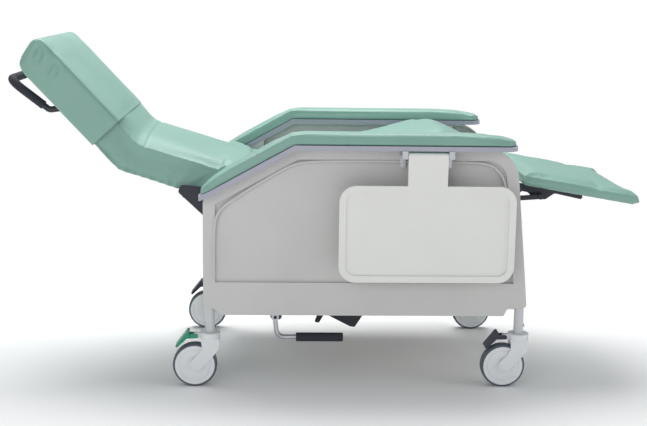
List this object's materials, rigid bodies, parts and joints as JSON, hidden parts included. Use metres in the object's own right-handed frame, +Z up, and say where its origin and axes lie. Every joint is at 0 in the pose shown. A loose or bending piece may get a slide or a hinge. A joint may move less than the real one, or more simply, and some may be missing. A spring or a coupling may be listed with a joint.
{
  "type": "patient recliner chair",
  "caption": "Reclining patient chair on locking casters with padded seat, back, arms, rising footrest, rear push bar and fold-up side trays.",
  "frame": {"origin": "on the floor, under the middle of the whole chair with the back fully reclined and the footrest up", "axes": "+X towards the feet along the chair's length, +Y to the occupant's left, +Z up"},
  "size_m": [1.8365, 0.772, 0.9822],
  "materials": {
    "frame_steel": "powder coat, satin",
    "zinc_steel": "zinc plated",
    "panel_plastic": "fine moulded grain",
    "arm_channel_plastic": "satin",
    "vinyl": "coated upholstery with fine grain",
    "plywood": "raw",
    "black_steel": "satin powder coat",
    "black_foam": "matt closed-cell foam",
    "tray_plastic": "fine grain",
    "caster_plastic": "semi-gloss nylon",
    "caster_tyre": "smooth rubber",
    "pedal_green": "semi-gloss",
    "pedal_black": "semi-gloss",
    "chrome_rod": "polished"
  },
  "bodies": {
    "base": {"corner_posts": "frame_steel", "bottom_rails": "frame_steel", "cross_tubes": "frame_steel", "arm_uprights": "frame_steel", "post_screws": "zinc_steel", "side_panel_right": "panel_plastic", "side_panel_left": "panel_plastic", "arm_channel_right": "arm_channel_plastic", "arm_channel_left": "arm_channel_plastic", "arm_pad_right": "vinyl", "arm_pad_left": "vinyl", "tray_bracket_right": "zinc_steel", "tray_bracket_left": "zinc_steel", "pivot_bolts": "zinc_steel", "spring_clevis": "black_steel", "lever_bracket": "black_steel", "latch_plate": "black_steel"},
    "seat": {"seat_rails": "black_steel", "seat_cross_members": "black_steel", "seat_spring_bracket": "black_steel", "seat_board": "plywood", "seat_cushion": "vinyl"},
    "back": {"back_cushion": "vinyl", "head_cushion": "vinyl", "back_board": "plywood", "back_rear_cover": "vinyl", "back_plates": "black_steel", "back_cross_tubes": "black_steel", "crank_plates": "black_steel", "push_bar": "black_steel", "push_grip": "black_foam"},
    "legrest": {"legrest_pad": "vinyl", "foot_pad": "vinyl", "legrest_board": "plywood", "legrest_brackets": "black_steel"},
    "drive_bars": {"drive_bars": "black_steel"},
    "spring_cylinder": {"spring_cylinder": "black_steel"},
    "spring_rod": {"spring_rod": "chrome_rod"},
    "release_lever": {"release_lever": "zinc_steel", "lever_grip": "black_foam"},
    "latch_lever": {"latch_lever": "black_steel"},
    "tray_right": {"tray_right": "tray_plastic"},
    "tray_left": {"tray_left": "tray_plastic"},
    "caster_front_right": {"caster_fork_front_right": "caster_plastic"},
    "wheel_front_right": {"wheel_front_right": "caster_plastic", "tyre_front_right": "caster_tyre"},
    "brake_pedal_front_right": {"brake_pedal_front_right": "pedal_black"},
    "caster_front_left": {"caster_fork_front_left": "caster_plastic"},
    "wheel_front_left": {"wheel_front_left": "caster_plastic", "tyre_front_left": "caster_tyre"},
    "brake_pedal_front_left": {"brake_pedal_front_left": "pedal_black"},
    "caster_rear_right": {"caster_fork_rear_right": "caster_plastic"},
    "wheel_rear_right": {"wheel_rear_right": "caster_plastic", "tyre_rear_right": "caster_tyre"},
    "brake_pedal_rear_right": {"brake_pedal_rear_right": "pedal_green"},
    "caster_rear_left": {"caster_fork_rear_left": "caster_plastic"},
    "wheel_rear_left": {"wheel_rear_left": "caster_plastic", "tyre_rear_left": "caster_tyre"},
    "brake_pedal_rear_left": {"brake_pedal_rear_left": "pedal_black"}
  },
  "joints": [
    {"name": "recline", "type": "hinge", "parent": "base", "child": "back", "pos_m": [-0.21775, 0, 0.56], "axis": [0, 1, 0], "range_deg": [0, 50]},
    {"name": "seat_tilt", "type": "hinge", "parent": "base", "child": "seat", "pos_m": [-0.21775, 0, 0.56], "axis": [0, 1, 0], "range_deg": [0, 13]},
    {"name": "legrest_fold", "type": "hinge", "parent": "seat", "child": "legrest", "pos_m": [0.54925, 0, 0.576], "axis": [0, 1, 0], "range_deg": [0, 47]},
    {"name": "drive_bar_swing", "type": "hinge", "parent": "legrest", "child": "drive_bars", "pos_m": [0.62525, 0, 0.545], "axis": [0, 1, 0], "range_deg": [-43.8, 0]},
    {"name": "spring_swing", "type": "hinge", "parent": "base", "child": "spring_cylinder", "pos_m": [-0.14275, 0, 0.275], "axis": [0, 1, 0], "range_deg": [0, 11.96]},
    {"name": "spring_stroke", "type": "slide", "parent": "spring_cylinder", "child": "spring_rod", "axis": [0.8805, 0, 0.4741], "range_m": [-0.06614, 0]},
    {"name": "release_lever_press", "type": "hinge", "parent": "base", "child": "release_lever", "pos_m": [-0.14675, 0, 0.19], "axis": [0, 1, 0], "range_deg": [0, 8], "stiffness_Nm_per_rad": 20, "springref_deg": -3.44},
    {"name": "latch_lever_press", "type": "hinge", "parent": "base", "child": "latch_lever", "pos_m": [-0.00375, 0, 0.19], "axis": [0, 1, 0], "range_deg": [0, 10], "stiffness_Nm_per_rad": 2, "springref_deg": -3.44},
    {"name": "tray_right_lift", "type": "hinge", "parent": "base", "child": "tray_right", "pos_m": [0.27325, -0.377, 0.684], "axis": [1, 0, 0], "range_deg": [-90, 0]},
    {"name": "tray_left_lift", "type": "hinge", "parent": "base", "child": "tray_left", "pos_m": [0.27325, 0.377, 0.684], "axis": [1, 0, 0], "range_deg": [0, 90]},
    {"name": "swivel_front_right", "type": "hinge", "parent": "base", "child": "caster_front_right", "pos_m": [0.55825, -0.3025, 0.15], "axis": [0, 0, 1], "continuous": true},
    {"name": "roll_front_right", "type": "hinge", "parent": "caster_front_right", "child": "wheel_front_right", "pos_m": [0.51525, -0.3025, 0.0635], "axis": [0, 1, 0], "continuous": true},
    {"name": "brake_front_right", "type": "hinge", "parent": "caster_front_right", "child": "brake_pedal_front_right", "pos_m": [0.51825, -0.3025, 0.149], "axis": [0, 1, 0], "range_deg": [-6, 0]},
    {"name": "swivel_front_left", "type": "hinge", "parent": "base", "child": "caster_front_left", "pos_m": [0.55825, 0.3025, 0.15], "axis": [0, 0, 1], "continuous": true},
    {"name": "roll_front_left", "type": "hinge", "parent": "caster_front_left", "child": "wheel_front_left", "pos_m": [0.51525, 0.3025, 0.0635], "axis": [0, 1, 0], "continuous": true},
    {"name": "brake_front_left", "type": "hinge", "parent": "caster_front_left", "child": "brake_pedal_front_left", "pos_m": [0.51825, 0.3025, 0.149], "axis": [0, 1, 0], "range_deg": [-6, 0]},
    {"name": "swivel_rear_right", "type": "hinge", "parent": "base", "child": "caster_rear_right", "pos_m": [-0.33375, -0.3025, 0.15], "axis": [0, 0, 1], "continuous": true},
    {"name": "roll_rear_right", "type": "hinge", "parent": "caster_rear_right", "child": "wheel_rear_right", "pos_m": [-0.37675, -0.3025, 0.0635], "axis": [0, 1, 0], "continuous": true},
    {"name": "brake_rear_right", "type": "hinge", "parent": "caster_rear_right", "child": "brake_pedal_rear_right", "pos_m": [-0.37375, -0.3025, 0.149], "axis": [0, 1, 0], "range_deg": [-6, 0]},
    {"name": "swivel_rear_left", "type": "hinge", "parent": "base", "child": "caster_rear_left", "pos_m": [-0.33375, 0.3025, 0.15], "axis": [0, 0, 1], "continuous": true},
    {"name": "roll_rear_left", "type": "hinge", "parent": "caster_rear_left", "child": "wheel_rear_left", "pos_m": [-0.37675, 0.3025, 0.0635], "axis": [0, 1, 0], "continuous": true},
    {"name": "brake_rear_left", "type": "hinge", "parent": "caster_rear_left", "child": "brake_pedal_rear_left", "pos_m": [-0.37375, 0.3025, 0.149], "axis": [0, 1, 0], "range_deg": [-6, 0]}
  ],
  "couplings": [
    {"joint": "seat_tilt", "follows": "recline", "ratio": 0.26},
    {"joint": "legrest_fold", "follows": "recline", "ratio": 0.94},
    {"joint": "drive_bar_swing", "follows": "recline", "ratio": -0.87605},
    {"joint": "spring_swing", "follows": "recline", "ratio": 0.23915},
    {"joint": "spring_stroke", "follows": "recline", "m_per_rad": -0.075794}
  ]
}
